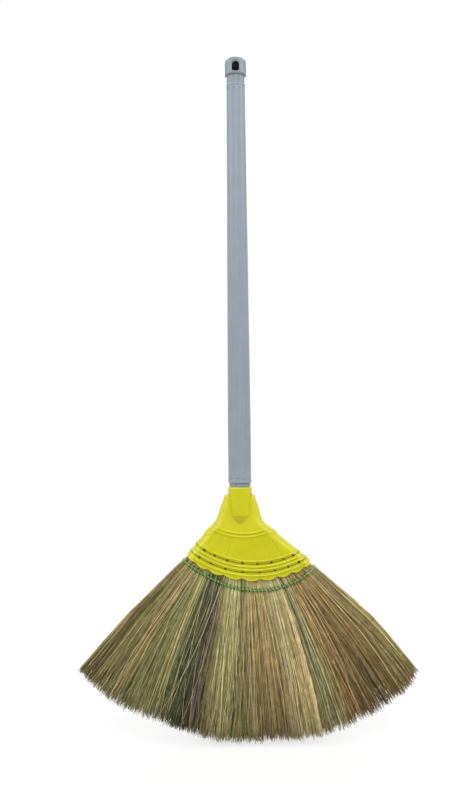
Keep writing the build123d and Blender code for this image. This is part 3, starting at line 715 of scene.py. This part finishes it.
def tuft_of_grass(index, material):
    """One tuft of fine stalks, gathered in locks that each lie a little higher or lower and have
    their own tone."""
    left, right = ROOT_EDGES[index : index + 2]
    count = round(STALKS_PER_DEGREE * (right - left))
    locks = round((right - left) / LOCK_WIDTH)
    across = rng.random(count)
    lock, from_middle = gather_locks(across, locks)
    through = np.sign(rng.uniform(-1, 1, count)) * rng.random(count) ** DEPTH_POWER
    through *= 1 - LOCK_CROWN * from_middle**2

    root_angle = left + across * (right - left)
    straight = root_angle + np.interp(root_angle, LEAN_ROOTS, LEANS)
    tip_angle = straight + rng.normal(0, LOCK_SPLAY, locks)[lock] + rng.normal(0, STALK_SPLAY, count)
    stray = rng.random(count) < STRAY_SHARE
    tip_angle[stray] += rng.normal(0, STRAY_SPLAY, count)[stray]
    streak = np.abs(root_angle - PALE_STREAK) < PALE_STREAK_REACH
    tip_angle[streak] = straight[streak]
    tip_angle = np.clip(tip_angle, *TIP_EDGES)
    on_top = stray | streak
    through[on_top] = np.sign(through[on_top]) * ON_TOP
    short = np.abs(rng.normal(0, STALK_SHORT, count)) + rng.uniform(0, LOCK_SHORT, locks)[lock]
    short += np.where(rng.random(count) < BROKEN_SHARE, rng.uniform(*BROKEN_SHORT, count), 0)
    lines, share = stalk_lines(index, across, root_angle, tip_angle, lock, through, short)
    tones = stalk_tones(root_angle, lock, on_top, share)

    thickness = rng.uniform(*STALK_THICKNESS, count)[:, None]
    radii = thickness * np.array(STALK_RADII) * np.where(stray, STRAY_THICKNESS, 1)[:, None]
    radii = np.concatenate([radii[:, :1], radii], 1)
    piece = tubes(f"grass_{index + 1}", lines, radii, STALK_SIDES, FRONT_TO_BACK, material)
    colours = np.ones((len(piece.data.vertices), 4), np.float32)
    colours[:, :3] = np.repeat(tones.reshape(-1, 3), STALK_SIDES, 0)
    layer = piece.data.attributes.new("stalk_tone", "FLOAT_COLOR", "POINT")
    layer.data.foreach_set("color", colours.ravel())
    return piece


def seen_directly(tree):
    """A factor that is 1 for what the camera sees, straight or in a reflection, and 0 for falling light."""
    path = add(tree, "ShaderNodeLightPath")
    seen = path.outputs["Is Camera Ray"]
    for ray in ("Is Glossy Ray", "Is Transmission Ray"):
        seen = add(tree, "ShaderNodeMath", {0: seen, 1: path.outputs[ray]}, operation="MAXIMUM").outputs[0]
    return seen


def white_paper(level):
    """Paper, matt and white, lying at a level.
    The eye sees the broom's shadow on it near the broom, and plain white further out."""
    material, tree = empty_material("paper_white_matt")
    seen = seen_directly(tree)
    tone = add(
        tree,
        "ShaderNodeMix",
        {MIX_FACTOR: seen, MIX_FIRST: linear("#C4C4C2"), MIX_SECOND: linear("#FFFFFF")},
        data_type="RGBA",
    )
    paper = add(tree, "ShaderNodeBsdfDiffuse", {"Color": tone.outputs[MIX_RESULT]})
    glow = add(tree, "ShaderNodeEmission", {"Strength": 1.0})
    where = add(tree, "ShaderNodeNewGeometry").outputs["Position"]
    away = add(tree, "ShaderNodeVectorMath", {0: where, 1: (0.0, 0.0, level)}, operation="DISTANCE")
    white = add(
        tree,
        "ShaderNodeMapRange",
        {
            "Value": away.outputs["Value"],
            "From Min": PAPER_NEAR,
            "From Max": PAPER_FAR,
            "To Min": PAPER_WHITENESS,
            "To Max": 1.0,
        },
    )
    share = add(tree, "ShaderNodeMath", {0: seen, 1: white.outputs[0]}, operation="MULTIPLY")
    both = add(tree, "ShaderNodeMixShader", {0: share.outputs[0], 1: paper.outputs[0], 2: glow.outputs[0]})
    add(tree, "ShaderNodeOutputMaterial", {"Surface": both.outputs[0]})
    return material


def paper_floor():
    """A pale floor under the tips that reaches far out on all sides."""
    low = cad_box[0][2]
    mesh = bpy.data.meshes.new("floor")
    corners = [(x * FLOOR_REACH, y * FLOOR_REACH, low) for x, y in ((-1, -1), (1, -1), (1, 1), (-1, 1))]
    mesh.from_pydata(corners, [], [(0, 1, 2, 3)])
    mesh.materials.append(white_paper(low))
    floor = bpy.data.objects.new("floor", mesh)
    bpy.context.scene.collection.objects.link(floor)


def white_room():
    """A room that looks white to the camera and lights the broom evenly."""
    world = bpy.data.worlds.new("white_room")
    bpy.context.scene.world = world
    world.use_nodes = True
    tree = world.node_tree
    tree.nodes.clear()
    seen = seen_directly(tree)
    strength = add(tree, "ShaderNodeMapRange", {"Value": seen, "To Min": ROOM_LIGHT, "To Max": 1.0})
    sky = add(tree, "ShaderNodeBackground", {"Color": linear("#FFFFFF"), "Strength": strength.outputs[0]})
    add(tree, "ShaderNodeOutputWorld", {"Surface": sky.outputs[0]})


def softbox(turn):
    """A square lamp that faces the broom, turned about it by some degrees from the front."""
    bearing = math.radians(turn)
    place = Vector((LAMP_DISTANCE * math.sin(bearing), -LAMP_DISTANCE * math.cos(bearing), LAMP_HEIGHT))
    light = bpy.data.lights.new(f"softbox_{turn:+d}", "AREA")
    light.size = LAMP_SIZE
    light.energy = LAMP_POWER
    lamp = bpy.data.objects.new(light.name, light)
    lamp.location = place
    lamp.rotation_euler = (Vector(LAMP_TARGET) - place).to_track_quat("-Z", "Y").to_euler()
    bpy.context.scene.collection.objects.link(lamp)


def photograph_camera():
    """The camera at the photograph's viewing angle."""
    camera = bpy.data.objects.new("camera", bpy.data.cameras.new("camera"))
    camera.data.lens = CAMERA_LENS
    camera.data.sensor_width = CAMERA_SENSOR
    camera.location = [c * MM for c in CAMERA_PLACE]
    camera.rotation_euler = (math.pi / 2, math.radians(CAMERA_ROLL), 0)
    bpy.context.scene.collection.objects.link(camera)
    bpy.context.scene.camera = camera


def dress(node, material):
    """Gives a node of the frame its material."""
    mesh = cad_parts[node].data
    mesh.materials.clear()
    mesh.materials.append(material)


def sew_on(piece, node):
    """Puts a piece on the head in place of the plain solid of a node."""
    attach(piece, "head")
    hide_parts(node)


dress("handle_tube", satin_handle_plastic("polypropylene_extruded_grey", "#8F9AA3", "#89949D"))
dress("hang_cap", satin_handle_plastic("polypropylene_moulded_grey", "#8A959B", "#838E94"))
# The screw tip's darker grey is painted shade from the bead above it
dress("screw_tip", satin_handle_plastic("polypropylene_moulded_grey_painted_bead_shade", "#8A949A", "#7C868C"))
dress("head_shell", yellow_shell_plastic())

stitch_finish = twine_fibre("polypropylene_twine_olive_green", "#4E7024", "#38541A")
for row, arc in STITCH_ARCS.items():
    route = stitch_route(arc)
    twine = twisted_twine(
        f"{row}_twine", route, BAND_CENTRE, STITCH_TWINE_RADIUS, STITCH_PLIES, STITCH_PITCH, stitch_finish
    )
    sew_on(twine, row)

binding_finish = twine_fibre("polypropylene_twine_green", "#90C274", "#72AA5A")
loop_finish = twine_fibre("polypropylene_twine_deep_green", "#3C6A30", "#2C4E24")
route = binding_route()
binding = twisted_twine(
    "binding_cord_twine", route, FAN_APEX, BINDING_RADIUS, BINDING_PLIES, BINDING_PITCH, binding_finish
)
sew_on(binding, "binding_cord")
sew_on(binding_loops(loop_finish), "binding_loops")

grass_finish = grass_stalks()
for number in range(TUFTS):
    dress(f"tuft_tie_{number + 1}", binding_finish)
    sew_on(tuft_of_grass(number, grass_finish), f"grass_tuft_{number + 1}")

paper_floor()
white_room()
for lamp_turn in LAMP_TURNS:
    softbox(lamp_turn)
photograph_camera()
bpy.context.scene.view_settings.view_transform = "Standard"
